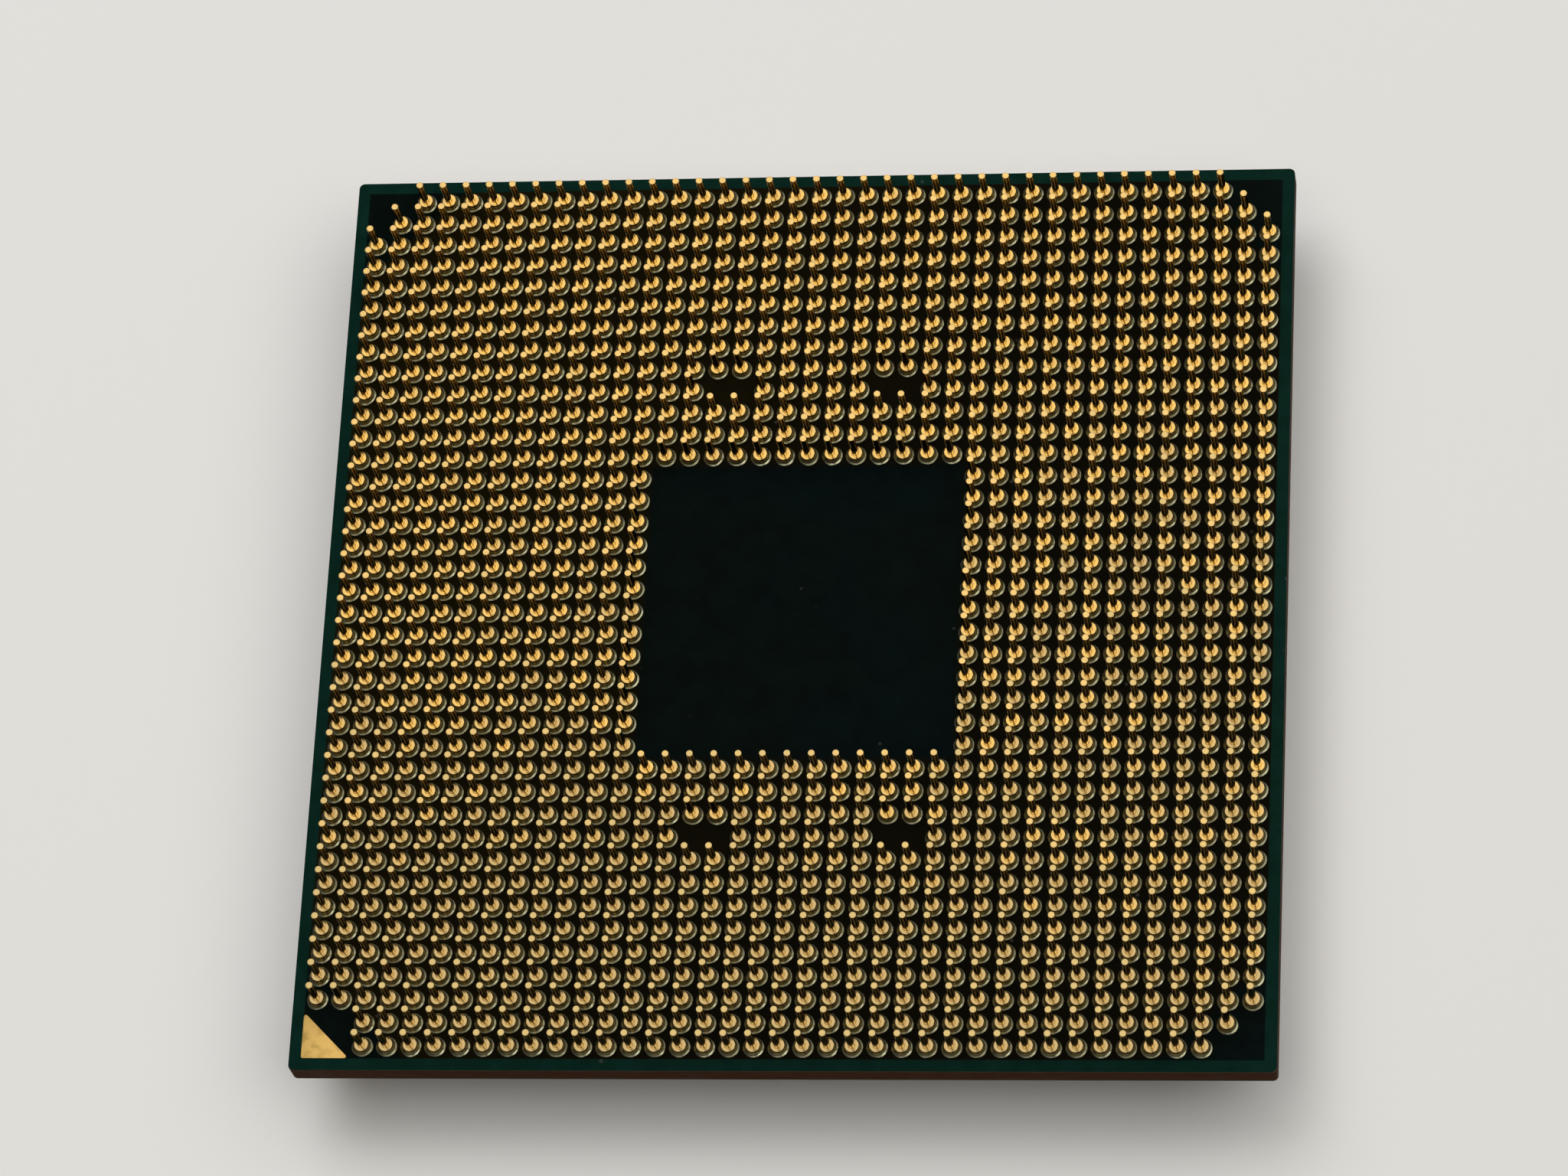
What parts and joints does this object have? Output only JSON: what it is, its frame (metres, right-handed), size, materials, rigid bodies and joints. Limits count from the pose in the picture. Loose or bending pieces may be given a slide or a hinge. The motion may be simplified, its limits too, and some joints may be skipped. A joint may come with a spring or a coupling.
{
  "type": "desktop processor",
  "caption": "Square pin-grid desktop processor lying on its metal lid, gold pins up, with a pin-free middle, key gaps and a gold triangle at one corner.",
  "frame": {"origin": "centre of the lid's contact face, the face that the part lies on", "axes": "+Z out along the pins, +X along the rows of pins, and the marked corner at -X, -Y"},
  "size_m": [0.04, 0.04, 0.0063],
  "materials": {
    "pin_gold": "gold plated, satin",
    "gold_plate": "gold plated, matt",
    "solder": "wetted solder, satin",
    "laminate": "solder mask, satin",
    "lid_nickel": "nickel plated copper, satin",
    "lid_silicone": "cured silicone",
    "interface_metal": "soft solder",
    "die_silicon": "ground silicon",
    "underfill_resin": "filled resin",
    "capacitor_ceramic": "fired ceramic"
  },
  "bodies": {
    "root": {"heat_spreader_lid": "lid_nickel", "lid_adhesive": "lid_silicone", "thermal_interface": "interface_metal", "processor_die": "die_silicon", "die_bumps": "solder", "die_underfill": "underfill_resin", "capacitor_bodies": "capacitor_ceramic", "capacitor_terminals": "solder", "package_substrate": "laminate", "lid_side_corner_mark": "gold_plate", "pin_side_corner_mark": "gold_plate", "solder_joints": "solder", "pin_row_01": "pin_gold", "pin_row_02": "pin_gold", "pin_row_03": "pin_gold", "pin_row_04": "pin_gold", "pin_row_05": "pin_gold", "pin_row_06": "pin_gold", "pin_row_07": "pin_gold", "pin_row_08": "pin_gold", "pin_row_09": "pin_gold", "pin_row_10": "pin_gold", "pin_row_11": "pin_gold", "pin_row_12": "pin_gold", "pin_row_13": "pin_gold", "pin_row_14": "pin_gold", "pin_row_15": "pin_gold", "pin_row_16": "pin_gold", "pin_row_17": "pin_gold", "pin_row_18": "pin_gold", "pin_row_19": "pin_gold", "pin_row_20": "pin_gold", "pin_row_21": "pin_gold", "pin_row_22": "pin_gold", "pin_row_23": "pin_gold", "pin_row_24": "pin_gold", "pin_row_25": "pin_gold", "pin_row_26": "pin_gold", "pin_row_27": "pin_gold", "pin_row_28": "pin_gold", "pin_row_29": "pin_gold", "pin_row_30": "pin_gold", "pin_row_31": "pin_gold", "pin_row_32": "pin_gold", "pin_row_33": "pin_gold", "pin_row_34": "pin_gold", "pin_row_35": "pin_gold", "pin_row_36": "pin_gold", "pin_row_37": "pin_gold", "pin_row_38": "pin_gold", "pin_row_39": "pin_gold"}
  },
  "joints": []
}
